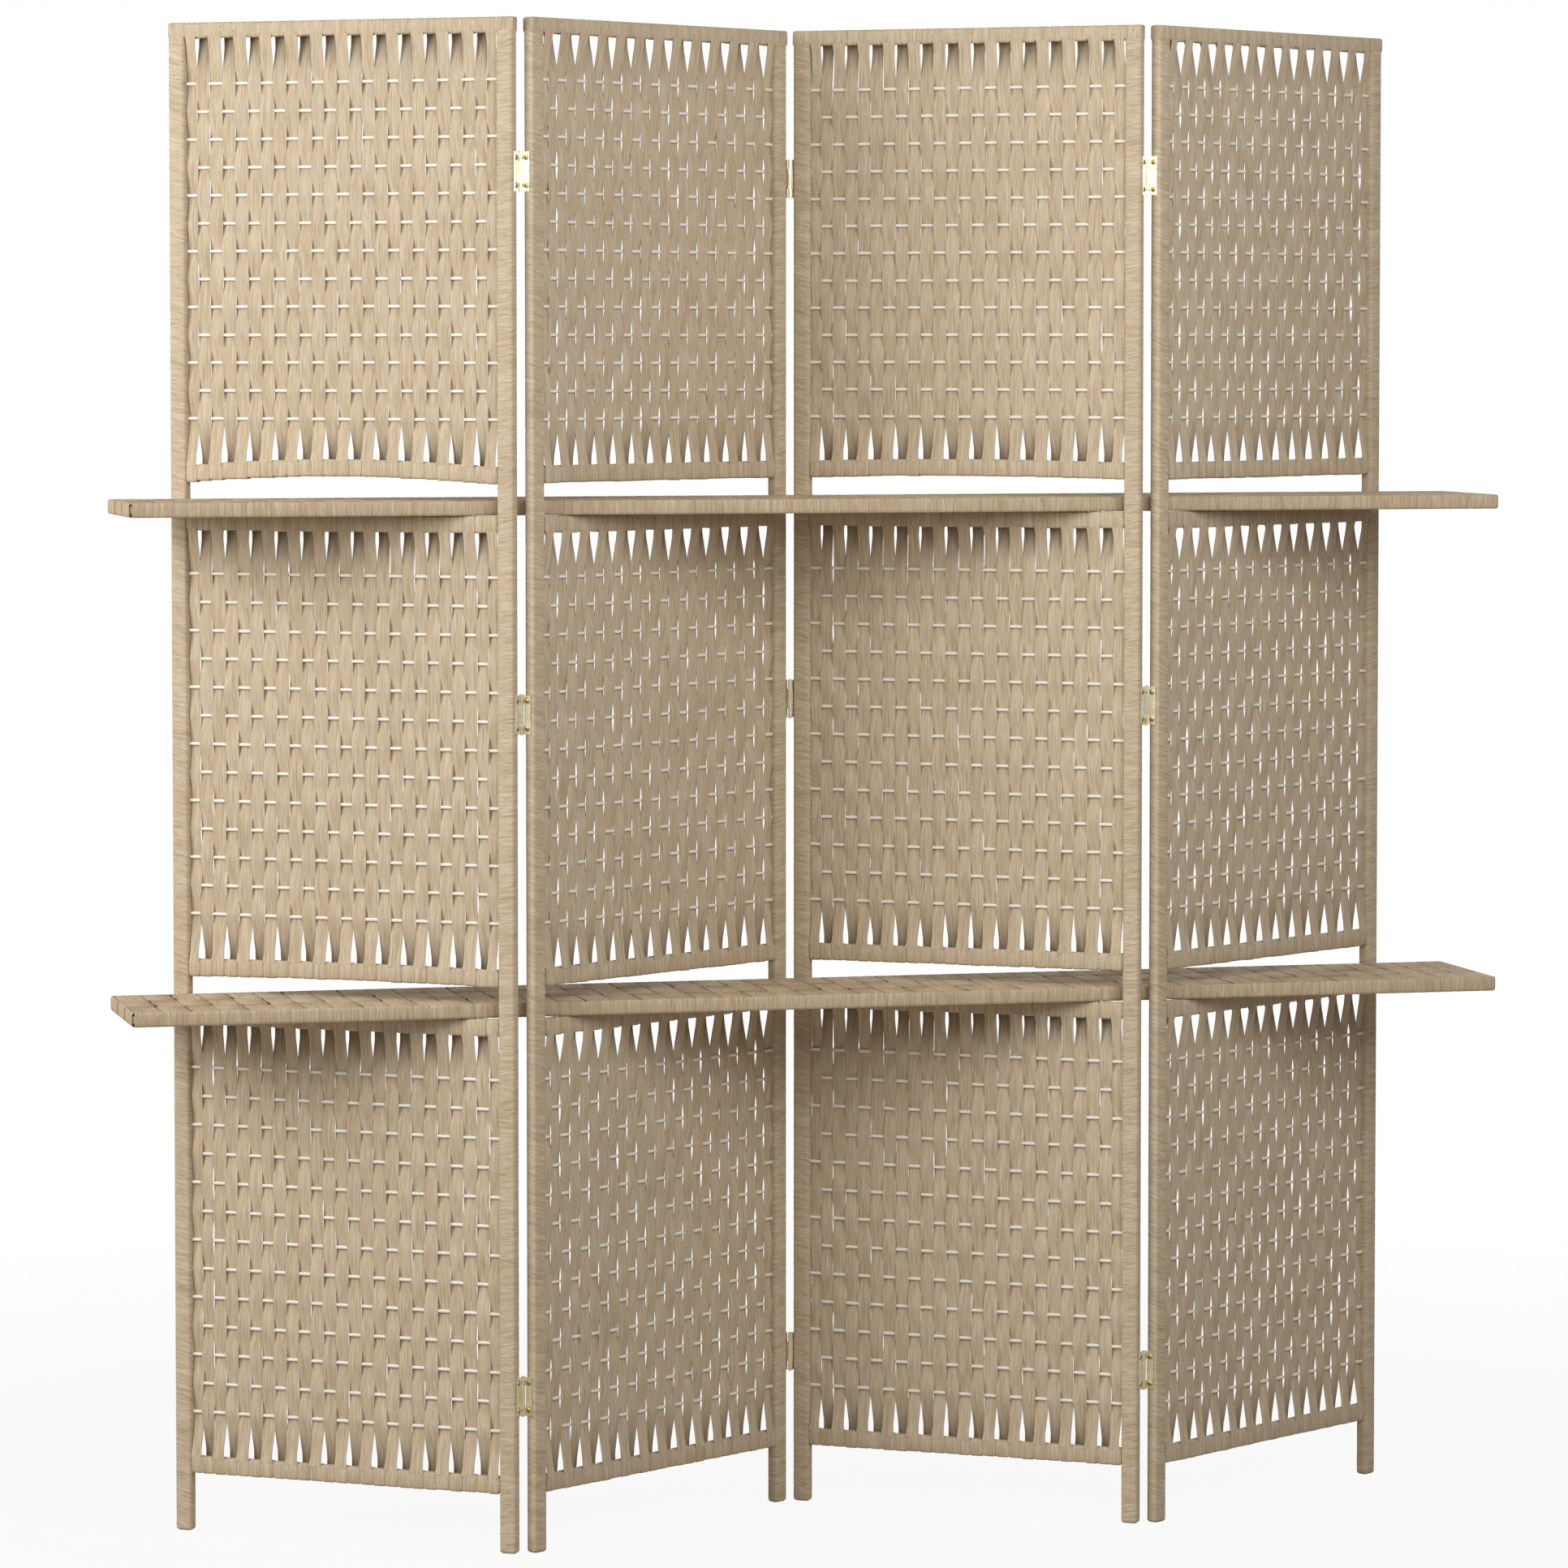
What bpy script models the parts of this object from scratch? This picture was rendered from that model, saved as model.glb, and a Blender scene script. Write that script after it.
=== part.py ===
# Folding room divider: four woven panels, three folds, two straight shelves through the panels' slots.
# Row frame: X along the zigzag from left to right, Y to the back, Z up, in metres.
import math

import bmesh
import bpy

for old in list(bpy.data.objects):
    bpy.data.objects.remove(old, do_unlink=True)

# Panel and stiles. A stile is one upright at the side of a panel.
SCREEN_HEIGHT = 1.800
PANEL_WIDTH = 0.441
STILE_WIDTH = 0.021
STILE_THICKNESS = 0.015
STILE_CORNER = 0.0038
STILE_CORNER_SEGMENTS = 2
LEG_HEIGHT = 0.070
SLOT_HEIGHT = 0.0388
FIT_GAP = 0.0003

# Fold. The half angle is between each panel and the line of the zigzag.
FOLD_HALF_ANGLE = math.radians(33.8)
EDGE_GAP = 0.006
PIN_PROUD = 0.0016

# Woven sections, from the floor up: rails at top and bottom, 25 strips, 13 rods.
LOWER_HEIGHT = 0.5600
MIDDLE_HEIGHT = 0.5510
RAIL_HEIGHT = 0.020
RAIL_THICKNESS = 0.0142
RAIL_CORNER = 0.003
ROD_COUNT = 13
ROD_FIRST_BELOW_TOP = 0.0720
ROD_LAST_ABOVE_BOTTOM = 0.0735
WEB_THICKNESS = 0.0068
WEB_WAIST = 0.0044
WEB_MARGIN = 0.007
FRONT_STRIPS = 13
BACK_STRIPS = FRONT_STRIPS - 1
STRIP_PITCH = 0.0160
STRIP_WIDTH = 0.0128
STRIP_NECK = 0.0104
STRIP_THICKNESS = 0.0016
STRIP_SINK = 0.003
STRIP_INSET = 0.0006

# Hinge: two leaves on the facing stile edges, three knuckles and a pin.
HINGE_HEIGHT = 0.046
HINGE_TOP_DROP = 0.179
HINGE_MIDDLE_RISE = 0.319
HINGE_BOTTOM_RISE = 0.115
LEAF_WIDTH = 0.0100
LEAF_THICKNESS = 0.0010
KNUCKLE_RADIUS = 0.0023
KNUCKLE_SIDES = 12
MIDDLE_KNUCKLE = 0.0245
KNUCKLE_CLEARANCE = 0.0004
PIN_RADIUS = 0.0009
PIN_CLEARANCE = 0.0003
PIN_SIDES = 8
PIN_CAP_RADIUS = 0.0020
PIN_CAP_HEIGHT = 0.0008
SCREW_SPACING = 0.0325
SCREW_RADIUS = 0.0026
SCREW_DOME = 0.0007
SCREW_SIDES = 8
LEAF_NOTCH = KNUCKLE_RADIUS + KNUCKLE_CLEARANCE

# Shelves: a frame of battens round a woven deck.
SHELF_LENGTH = 1.675
SHELF_DEPTH = 0.196
SHELF_THICKNESS = 0.017
BATTEN_WIDTH = 0.016
BATTEN_CORNER = 0.0025
BATTEN_CORNER_SEGMENTS = 2
DECK_RECESS = 0.0006

LOWER_REST = LEG_HEIGHT + LOWER_HEIGHT
MIDDLE_BOTTOM = LOWER_REST + SLOT_HEIGHT
UPPER_REST = MIDDLE_BOTTOM + MIDDLE_HEIGHT
UPPER_BOTTOM = UPPER_REST + SLOT_HEIGHT
UPPER_HEIGHT = SCREEN_HEIGHT - UPPER_BOTTOM
HINGE_TOP = SCREEN_HEIGHT - HINGE_TOP_DROP
HINGE_MIDDLE = MIDDLE_BOTTOM + HINGE_MIDDLE_RISE
HINGE_BOTTOM = LEG_HEIGHT + HINGE_BOTTOM_RISE
SECTION_WIDTH = PANEL_WIDTH - 2 * STILE_WIDTH - 2 * FIT_GAP
PIN_OUT = EDGE_GAP / 2
PIN_OFF = STILE_THICKNESS / 2 + PIN_PROUD
HALF_WIDTH = PANEL_WIDTH / 2
COS = math.cos(FOLD_HALF_ANGLE)
SIN = math.sin(FOLD_HALF_ANGLE)
# Half the distance between the middles of two neighbouring panels.
HALF_STEP = (HALF_WIDTH + PIN_OUT) * COS + PIN_OFF * SIN
# How far a pin lies in front of or behind the middle line.
PIN_REACH = (HALF_WIDTH + PIN_OUT) * SIN - PIN_OFF * COS


def material(name, colour, metallic, roughness):
    made = bpy.data.materials.new(name)
    made.use_nodes = True
    shader = made.node_tree.nodes["Principled BSDF"]
    shader.inputs["Base Color"].default_value = (*colour, 1.0)
    shader.inputs["Metallic"].default_value = metallic
    shader.inputs["Roughness"].default_value = roughness
    return made


PAPER = material("paper_fibre_strips", (0.46, 0.36, 0.25), 0.0, 0.85)
WRAP = material("paper_fibre_wrap", (0.50, 0.40, 0.28), 0.0, 0.85)
BRASS = material("brass_plate", (0.72, 0.56, 0.28), 1.0, 0.35)


def mesh_from(build, name):
    shape = bmesh.new()
    build(shape)
    bmesh.ops.recalc_face_normals(shape, faces=shape.faces)
    mesh = bpy.data.meshes.new(name)
    shape.to_mesh(mesh)
    shape.free()
    return mesh


def add_loops(shape, loops):
    """Closes a body through rings of equal count, with flat caps."""
    rings = [[shape.verts.new(point) for point in loop] for loop in loops]
    for lower, upper in zip(rings, rings[1:]):
        for i, vert in enumerate(lower):
            after = (i + 1) % len(lower)
            shape.faces.new((vert, lower[after], upper[after], upper[i]))
    shape.faces.new(rings[0])
    shape.faces.new(rings[-1])


def add_box(shape, low, high):
    corners = ((low[0], low[1]), (high[0], low[1]), (high[0], high[1]), (low[0], high[1]))
    add_loops(shape, [[(x, y, z) for x, y in corners] for z in (low[2], high[2])])


def rounded(half_a, half_b, corner, segments):
    """Points round a rectangle with rounded corners."""
    points = []
    for quarter, (sign_a, sign_b) in enumerate(((1, 1), (-1, 1), (-1, -1), (1, -1))):
        for step in range(segments + 1):
            turn = math.radians(90 * (quarter + step / segments))
            along_a = sign_a * (half_a - corner) + corner * math.cos(turn)
            along_b = sign_b * (half_b - corner) + corner * math.sin(turn)
            points.append((along_a, along_b))
    return points


def upright(shape, half_a, half_b, corner, segments, low, high):
    ring = rounded(half_a, half_b, corner, segments)
    add_loops(shape, [[(a, b, z) for a, b in ring] for z in (low, high)])


def lengthwise(shape, half_length, half_b, half_c, corner, segments, centre_z):
    ring = rounded(half_b, half_c, corner, segments)
    add_loops(shape, [[(x, b, centre_z + c) for b, c in ring] for x in (-half_length, half_length)])


def barrel(shape, radius, sides, centre, low, high):
    ring = []
    for i in range(sides):
        turn = math.tau * (i + 0.5) / sides
        ring.append((centre[0] + radius * math.cos(turn), centre[1] + radius * math.sin(turn)))
    add_loops(shape, [[(x, y, z) for x, y in ring] for z in (low, high)])


def combined(name, steps):
    """Joins or cuts a row of meshes and gives the closed result."""
    base = bpy.data.objects.new(name + "_base", steps[0][1])
    bpy.context.collection.objects.link(base)
    helpers = [base]
    for i, (operation, mesh) in enumerate(steps[1:]):
        helper = bpy.data.objects.new(f"{name}_helper_{i}", mesh)
        bpy.context.collection.objects.link(helper)
        helpers.append(helper)
        modifier = base.modifiers.new(f"step_{i}", "BOOLEAN")
        modifier.operation = operation
        modifier.solver = "EXACT"
        modifier.object = helper
    bpy.context.view_layer.update()
    graph = bpy.context.evaluated_depsgraph_get()
    result = bpy.data.meshes.new_from_object(base.evaluated_get(graph))
    result.name = name
    for helper in helpers:
        bpy.data.objects.remove(helper, do_unlink=True)
    return result


def axis_empty(name, x, y, heading):
    made = bpy.data.objects.new(name, None)
    made.empty_display_size = STILE_WIDTH
    made.location = (x, y, 0.0)
    made.rotation_euler = (0.0, 0.0, heading)
    bpy.context.collection.objects.link(made)
    return made


def piece(name, mesh, surface, parent, x, y, z):
    made = bpy.data.objects.new(name, mesh.copy())
    made.data.name = name
    made.data.materials.clear()
    made.data.materials.append(surface)
    made.parent = parent
    made.location = (x, y, z)
    bpy.context.collection.objects.link(made)
    return made


def stile_shape(shape):
    upright(
        shape, STILE_WIDTH / 2, STILE_THICKNESS / 2, STILE_CORNER, STILE_CORNER_SEGMENTS,
        0.0, SCREEN_HEIGHT,
    )


def rod_height(height, index):
    """Height of a rod above the foot of its section, counted from the top rod."""
    pitch = (height - ROD_FIRST_BELOW_TOP - ROD_LAST_ABOVE_BOTTOM) / (ROD_COUNT - 1)
    return height - ROD_FIRST_BELOW_TOP - index * pitch


def weave_mesh(name, height):
    """One woven section as a closed body, standing on its own foot."""
    web_top = rod_height(height, 0) + WEB_MARGIN
    web_bottom = rod_height(height, ROD_COUNT - 1) - WEB_MARGIN

    def rails_and_web(shape):
        half = SECTION_WIDTH / 2
        for centre in (RAIL_HEIGHT / 2, height - RAIL_HEIGHT / 2):
            lengthwise(shape, half, RAIL_THICKNESS / 2, RAIL_HEIGHT / 2, RAIL_CORNER, 1, centre)
        side = [(WEB_WAIST / 2, web_top)]
        for index in range(ROD_COUNT):
            side.append((WEB_THICKNESS / 2, rod_height(height, index)))
            if index < ROD_COUNT - 1:
                between = (rod_height(height, index) + rod_height(height, index + 1)) / 2
                side.append((WEB_WAIST / 2, between))
        side.append((WEB_WAIST / 2, web_bottom))
        outline = side + [(-y, z) for y, z in reversed(side)]
        add_loops(shape, [[(x, y, z) for y, z in outline] for x in (-half, half)])

    def strip_ends(shape):
        face = RAIL_THICKNESS / 2 - STRIP_INSET
        spans = (
            (height - RAIL_HEIGHT + STRIP_SINK, web_top - STRIP_SINK),
            (RAIL_HEIGHT - STRIP_SINK, web_bottom + STRIP_SINK),
        )
        for count, sign in ((FRONT_STRIPS, -1), (BACK_STRIPS, 1)):
            for index in range(count):
                centre = (index - (count - 1) / 2) * 2 * STRIP_PITCH
                for rail_z, web_z in spans:
                    loops = []
                    for z, outer, half in (
                        (rail_z, sign * face, STRIP_WIDTH / 2),
                        (web_z, sign * STRIP_THICKNESS / 2, STRIP_NECK / 2),
                    ):
                        inner = outer - sign * STRIP_THICKNESS
                        loops.append([
                            (centre - half, outer, z),
                            (centre + half, outer, z),
                            (centre + half, inner, z),
                            (centre - half, inner, z),
                        ])
                    add_loops(shape, loops)

    return combined(name, [
        ("", mesh_from(rails_and_web, name + "_rails_and_web")),
        ("UNION", mesh_from(strip_ends, name + "_strip_ends")),
    ])


def leaf_mesh(end_sign, pin_sign, own_middle):
    """One leaf on a panel's end: end_sign 1 at the right end, pin_sign 1 with the pin behind."""
    name = f"leaf_{end_sign}_{pin_sign}_{own_middle}"
    near = FIT_GAP
    far = FIT_GAP + LEAF_THICKNESS
    pin_x = end_sign * PIN_OUT
    pin_y = pin_sign * PIN_OFF
    edge = PIN_OFF - LEAF_NOTCH
    start = edge - LEAF_WIDTH
    half = HINGE_HEIGHT / 2
    middle = MIDDLE_KNUCKLE / 2
    if own_middle:
        spans = ((-middle, middle),)
    else:
        inner = middle + FIT_GAP
        spans = ((-half, -inner), (inner, half))

    def box_from(shape, y_low, y_high, z_low, z_high):
        xs = sorted((end_sign * near, end_sign * far))
        ys = sorted((pin_sign * y_low, pin_sign * y_high))
        add_box(shape, (xs[0], ys[0], z_low), (xs[1], ys[1], z_high))

    def plate(shape):
        box_from(shape, start, edge, -half, half)

    def arms(shape):
        for low, high in spans:
            box_from(shape, edge - LEAF_THICKNESS, PIN_OFF, low, high)

    def knuckles(shape):
        for low, high in spans:
            barrel(shape, KNUCKLE_RADIUS, KNUCKLE_SIDES, (pin_x, pin_y), low, high)

    def domes(shape):
        centre_y = pin_sign * (start + edge) / 2
        for side in (-1, 1):
            centre_z = side * SCREW_SPACING / 2
            loops = []
            for radius, out in (
                (SCREW_RADIUS, far - LEAF_THICKNESS / 2),
                (SCREW_RADIUS, far + SCREW_DOME / 4),
                (SCREW_RADIUS / 2, far + SCREW_DOME),
            ):
                ring = []
                for i in range(SCREW_SIDES):
                    turn = math.tau * i / SCREW_SIDES
                    y = centre_y + radius * math.cos(turn)
                    z = centre_z + radius * math.sin(turn)
                    ring.append((end_sign * out, y, z))
                loops.append(ring)
            add_loops(shape, loops)

    def bore(shape):
        radius = PIN_RADIUS + PIN_CLEARANCE
        barrel(shape, radius, PIN_SIDES, (pin_x, pin_y), -HINGE_HEIGHT, HINGE_HEIGHT)

    return combined(name, [
        ("", mesh_from(plate, name + "_plate")),
        ("UNION", mesh_from(arms, name + "_arms")),
        ("UNION", mesh_from(knuckles, name + "_knuckles")),
        ("UNION", mesh_from(domes, name + "_domes")),
        ("DIFFERENCE", mesh_from(bore, name + "_bore")),
    ])


def pin_mesh():
    half = HINGE_HEIGHT / 2

    def shaft(shape):
        rings = []
        for radius, z in (
            (PIN_CAP_RADIUS, -half - FIT_GAP - PIN_CAP_HEIGHT),
            (PIN_CAP_RADIUS, -half - FIT_GAP),
            (PIN_RADIUS, -half - FIT_GAP),
            (PIN_RADIUS, half + FIT_GAP),
            (PIN_CAP_RADIUS, half + FIT_GAP),
            (PIN_CAP_RADIUS, half + FIT_GAP + PIN_CAP_HEIGHT),
        ):
            ring = []
            for i in range(PIN_SIDES):
                turn = math.tau * (i + 0.5) / PIN_SIDES
                ring.append((radius * math.cos(turn), radius * math.sin(turn), z))
            rings.append(ring)
        add_loops(shape, rings)

    return mesh_from(shaft, "hinge_pin")


# Panels. Each is carried by an empty on its own fold axis; panel_2 is the fixed one.
AXIS_2 = axis_empty("panel_2_middle", -HALF_STEP, 0.0, FOLD_HALF_ANGLE)
AXIS_1 = axis_empty("left_fold_axis", -2 * HALF_STEP, -PIN_REACH, -FOLD_HALF_ANGLE)
AXIS_3 = axis_empty("centre_fold_axis", 0.0, PIN_REACH, -FOLD_HALF_ANGLE)
AXIS_4 = axis_empty("right_fold_axis", 2 * HALF_STEP, -PIN_REACH, FOLD_HALF_ANGLE)
SHELF_AXIS = axis_empty("shelf_swivel_axis", -HALF_STEP, 0.0, 0.0)
REACH = HALF_WIDTH + PIN_OUT
PANELS = (
    ("panel_1", AXIS_1, -REACH, -PIN_OFF),
    ("panel_2", AXIS_2, 0.0, 0.0),
    ("panel_3", AXIS_3, REACH, PIN_OFF),
    ("panel_4", AXIS_4, REACH, -PIN_OFF),
)
STILE_MESH = mesh_from(stile_shape, "stile")
SECTIONS = (
    ("lower", LEG_HEIGHT, weave_mesh("lower_weave", LOWER_HEIGHT)),
    ("middle", MIDDLE_BOTTOM, weave_mesh("middle_weave", MIDDLE_HEIGHT)),
    ("upper", UPPER_BOTTOM, weave_mesh("upper_weave", UPPER_HEIGHT)),
)
for panel, axis, centre_x, centre_y in PANELS:
    for side, sign in (("left", -1), ("right", 1)):
        stile_x = centre_x + sign * (HALF_WIDTH - STILE_WIDTH / 2)
        piece(f"{panel}_{side}_stile", STILE_MESH, WRAP, axis, stile_x, centre_y, 0.0)
    for section, bottom, mesh in SECTIONS:
        piece(f"{panel}_{section}_weave", mesh, PAPER, axis, centre_x, centre_y, bottom)

# Hinges. The pin lies on the side where the two panels close on each other.
# The last values name the hinges whose middle knuckle belongs to the right leaf.
FOLDS = (
    ("left_fold", PANELS[0], PANELS[1], 1, ()),
    ("centre_fold", PANELS[1], PANELS[2], -1, ()),
    ("right_fold", PANELS[2], PANELS[3], 1, ("top", "middle")),
)
LEVELS = (("top", HINGE_TOP), ("middle", HINGE_MIDDLE), ("bottom", HINGE_BOTTOM))
PIN_MESH = pin_mesh()
LEAVES = {}
for pin_sign in (1, -1):
    for own_middle in (True, False):
        for end_sign in (1, -1):
            key = (end_sign, pin_sign, own_middle)
            LEAVES[key] = leaf_mesh(end_sign, pin_sign, own_middle)
for fold, left, right, pin_sign, turned in FOLDS:
    for level, height in LEVELS:
        stem = f"{fold}_{level}"
        left_middle = level not in turned
        left_mesh = LEAVES[(1, pin_sign, left_middle)]
        right_mesh = LEAVES[(-1, pin_sign, not left_middle)]
        edge_x = left[2] + HALF_WIDTH
        piece(f"{stem}_left_leaf", left_mesh, BRASS, left[1], edge_x, left[3], height)
        pin_x = edge_x + PIN_OUT
        pin_y = left[3] + pin_sign * PIN_OFF
        piece(f"{stem}_pin", PIN_MESH, BRASS, left[1], pin_x, pin_y, height)
        edge_x = right[2] - HALF_WIDTH
        piece(f"{stem}_right_leaf", right_mesh, BRASS, right[1], edge_x, right[3], height)

# Shelves. They lie on the rails below the slots, centred on the middle of the zigzag.
HALF_DEPTH = SHELF_DEPTH / 2
HALF_BATTEN = BATTEN_WIDTH / 2
HALF_THICKNESS = SHELF_THICKNESS / 2
DECK_HALF_DEPTH = HALF_DEPTH - BATTEN_WIDTH - FIT_GAP
END_X = SHELF_LENGTH / 2 - HALF_BATTEN


def long_batten(shape):
    lengthwise(
        shape, SHELF_LENGTH / 2, HALF_BATTEN, HALF_THICKNESS, BATTEN_CORNER, BATTEN_CORNER_SEGMENTS, 0.0,
    )


def end_batten(shape):
    ring = rounded(HALF_BATTEN, HALF_THICKNESS, BATTEN_CORNER, BATTEN_CORNER_SEGMENTS)
    add_loops(shape, [[(a, y, c) for a, c in ring] for y in (-DECK_HALF_DEPTH, DECK_HALF_DEPTH)])


def deck(shape):
    half_x = SHELF_LENGTH / 2 - BATTEN_WIDTH - FIT_GAP
    half_z = HALF_THICKNESS - DECK_RECESS
    add_box(shape, (-half_x, -DECK_HALF_DEPTH, -half_z), (half_x, DECK_HALF_DEPTH, half_z))


LONG_MESH = mesh_from(long_batten, "long_batten")
END_MESH = mesh_from(end_batten, "end_batten")
DECK_MESH = mesh_from(deck, "deck")
for shelf, rest in (("lower_shelf", LOWER_REST), ("upper_shelf", UPPER_REST)):
    z = rest + FIT_GAP + HALF_THICKNESS
    batten_y = HALF_DEPTH - HALF_BATTEN
    piece(f"{shelf}_front_batten", LONG_MESH, WRAP, SHELF_AXIS, HALF_STEP, -batten_y, z)
    piece(f"{shelf}_back_batten", LONG_MESH, WRAP, SHELF_AXIS, HALF_STEP, batten_y, z)
    piece(f"{shelf}_left_batten", END_MESH, WRAP, SHELF_AXIS, HALF_STEP - END_X, 0.0, z)
    piece(f"{shelf}_right_batten", END_MESH, WRAP, SHELF_AXIS, HALF_STEP + END_X, 0.0, z)
    piece(f"{shelf}_deck", DECK_MESH, PAPER, SHELF_AXIS, HALF_STEP, 0.0, z)
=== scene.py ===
# The looks of a folding room divider: four woven panels, two long shelves, nine plated hinges.
# All lengths are in metres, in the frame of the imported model.
import math

import bpy
import numpy as np
from mathutils import Matrix, Vector


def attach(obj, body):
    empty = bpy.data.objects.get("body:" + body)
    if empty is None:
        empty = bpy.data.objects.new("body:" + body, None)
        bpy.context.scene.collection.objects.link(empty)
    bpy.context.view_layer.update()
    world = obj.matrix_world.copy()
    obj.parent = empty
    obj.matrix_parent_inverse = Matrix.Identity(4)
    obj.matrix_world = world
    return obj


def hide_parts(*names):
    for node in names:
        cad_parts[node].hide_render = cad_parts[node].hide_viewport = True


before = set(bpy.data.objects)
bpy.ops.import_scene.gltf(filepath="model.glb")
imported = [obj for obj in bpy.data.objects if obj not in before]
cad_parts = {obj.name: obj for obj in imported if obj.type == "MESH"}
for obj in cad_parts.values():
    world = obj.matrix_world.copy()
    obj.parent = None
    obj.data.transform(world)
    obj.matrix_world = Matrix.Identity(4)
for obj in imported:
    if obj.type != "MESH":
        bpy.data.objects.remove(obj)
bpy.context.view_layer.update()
rng = np.random.default_rng(1862)

# Stiles: eight wooden uprights, two to a panel, bought planed with rounded corners.
# Each is bound from end to end in one paper-fibre band, wound on a slant so that its creases
# run nearly level and step down to the right. Glue and the turned-in ends hold it.
PANELS = (1, 2, 3, 4)
PANEL_WIDTH = 0.441
SCREEN_HEIGHT = 1.800
HALF_PANEL_STEP = 0.190787
FOLD_HALF_ANGLE = math.radians(33.8)
TOP_RAIL_HEIGHT = 0.0180
STILE_WIDTH = 0.021
STILE_THICKNESS = 0.015
STILE_CORNER = 0.0038
STILE_CORNER_STEPS = 3
STILE_END_ROUND = 0.0035
STILE_END_SHARE = 0.8
WIND_PITCH = 0.0139
WIND_RING_STEP = 0.0017
PLEAT_SPACING = 0.0024
PLEAT_DEPTH = 0.00026
PLEAT_UNEVENNESS = 1.6
FAINTEST_PLEAT = 0.55
RINGS_TO_A_CHANGE = 9
BAND_FLAT_SHARE = 0.72
BAND_NUMBERS = 400.0
SHARP_ANGLE = 55.0
PAPER_LIGHT = (0.722, 0.608, 0.450)
PAPER_DARK = (0.440, 0.325, 0.200)
# Painted shade: the near-black brown that bands are darkened towards in the gaps and crevices of
# the weave, where shade falls.
PAINTED_SHADE_BROWN = (0.070, 0.042, 0.020, 1.0)
DARK_STOP = 0.22
LIGHT_STOP = 0.74
FIBRE_TONE = 0.76
PLEAT_TONE = 0.74
PATCH_TONE = 0.32
TONE_DROP = 0.41
DRIFT_STRETCH = (60.0, 45.0, 9.1)
PATCH_STRETCH = (70.0, 17.0, 5.7)
FINER_ACROSS = 3.1
FINER_ALONG = 2.6
FIBRES_BY_BAND = 7.3
PLEATS_BY_BAND = 3.1
FIBRE_RELIEF = 0.4
PAPER_BUMP = 0.85
PAPER_SHEEN = 0.22
PAPER_ROUGHNESS = 0.74
FIBRE_ROUGHNESS = 0.18


class Wire:
    """A shader socket that takes part in sums; each sum adds its own Math node."""

    def __init__(self, tree, socket=None):
        self.tree = tree
        self.socket = socket

    def node(self, kind, settings, sockets, output=0):
        """Adds any node: its settings first, then the values or links of its sockets."""
        made = self.tree.nodes.new(kind)
        for key, value in settings.items():
            if key == "stops":
                for stop, (place, colour) in zip(made.color_ramp.elements, value):
                    stop.position = place
                    stop.color = (*colour, 1.0)
            else:
                setattr(made, key, value)
        for key, value in sockets.items():
            if isinstance(value, Wire):
                self.tree.links.new(value.socket, made.inputs[key])
            else:
                made.inputs[key].default_value = value
        return Wire(self.tree, made.outputs[output] if made.outputs else None)

    def maths(self, operation, first, second):
        return self.node("ShaderNodeMath", {"operation": operation}, {0: first, 1: second})

    def __add__(self, other):
        return self.maths("ADD", self, other)

    def __sub__(self, other):
        return self.maths("SUBTRACT", self, other)

    def __rsub__(self, other):
        return self.maths("SUBTRACT", other, self)

    def __mul__(self, other):
        return self.maths("MULTIPLY", self, other)

    __radd__ = __add__
    __rmul__ = __mul__


def blank_material(name):
    made = bpy.data.materials.new(name)
    made.use_nodes = True
    made.node_tree.nodes.clear()
    return made, Wire(made.node_tree)


def finish_material(sheet, sockets):
    shader = sheet.node("ShaderNodeBsdfPrincipled", {}, sockets)
    sheet.node("ShaderNodeOutputMaterial", {}, {"Surface": shader})


def stretched_noise(sheet, place, stretch, detail=2.0, output="Fac"):
    """Noise drawn out along a band: stretch is how often it changes across, along and by band."""
    scaled = sheet.node("ShaderNodeVectorMath", {"operation": "MULTIPLY"}, {0: place, 1: stretch})
    sockets = {"Vector": scaled, "Scale": 1.0, "Detail": detail}
    return sheet.node("ShaderNodeTexNoise", {}, sockets, output)


def paper_band(name, light, dark, relief, creases, run, wander):
    """Twisted paper fibre, finely pleated along the band.

    creases and run are the pleats to a metre across and along, relief is how deep they are,
    and wander is how far they stray.
    """
    made, sheet = blank_material(name)
    mark = sheet.node("ShaderNodeAttribute", {"attribute_name": "band"}, {}, "Vector")
    drift = stretched_noise(sheet, mark, DRIFT_STRETCH, detail=1.0, output="Color")
    sockets = {0: drift, 1: (wander, wander, 0.0), 2: mark}
    place = sheet.node("ShaderNodeVectorMath", {"operation": "MULTIPLY_ADD"}, sockets)
    fine = (creases * FINER_ACROSS, run * FINER_ALONG, FIBRES_BY_BAND)
    fibres = stretched_noise(sheet, place, fine)
    pleats = stretched_noise(sheet, place, (creases, run, PLEATS_BY_BAND))
    patches = stretched_noise(sheet, mark, PATCH_STRETCH)
    tone = fibres * FIBRE_TONE + pleats * PLEAT_TONE + patches * PATCH_TONE - TONE_DROP
    stops = ((DARK_STOP, dark), (LIGHT_STOP, light))
    plain = sheet.node("ShaderNodeValToRGB", {"stops": stops}, {"Fac": tone})
    # Painted shade: by each corner's shade mark, the colour is mixed towards a near-black brown
    # that stands in for the shade in the gaps and crevices of the weave.
    painted_shade = sheet.node("ShaderNodeAttribute", {"attribute_name": "painted_shade"}, {}, "Fac")
    sockets = {0: painted_shade, 6: plain, 7: PAINTED_SHADE_BROWN}
    colour = sheet.node("ShaderNodeMix", {"data_type": "RGBA"}, sockets, 2)
    height = fibres * FIBRE_RELIEF + pleats
    sockets = {"Height": height, "Distance": relief, "Strength": PAPER_BUMP}
    bump = sheet.node("ShaderNodeBump", {}, sockets)
    finish_material(sheet, {
        "Base Color": colour,
        "Roughness": PAPER_ROUGHNESS + fibres * FIBRE_ROUGHNESS,
        "Specular IOR Level": PAPER_SHEEN,
        "Normal": bump,
    })
    return made


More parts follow.
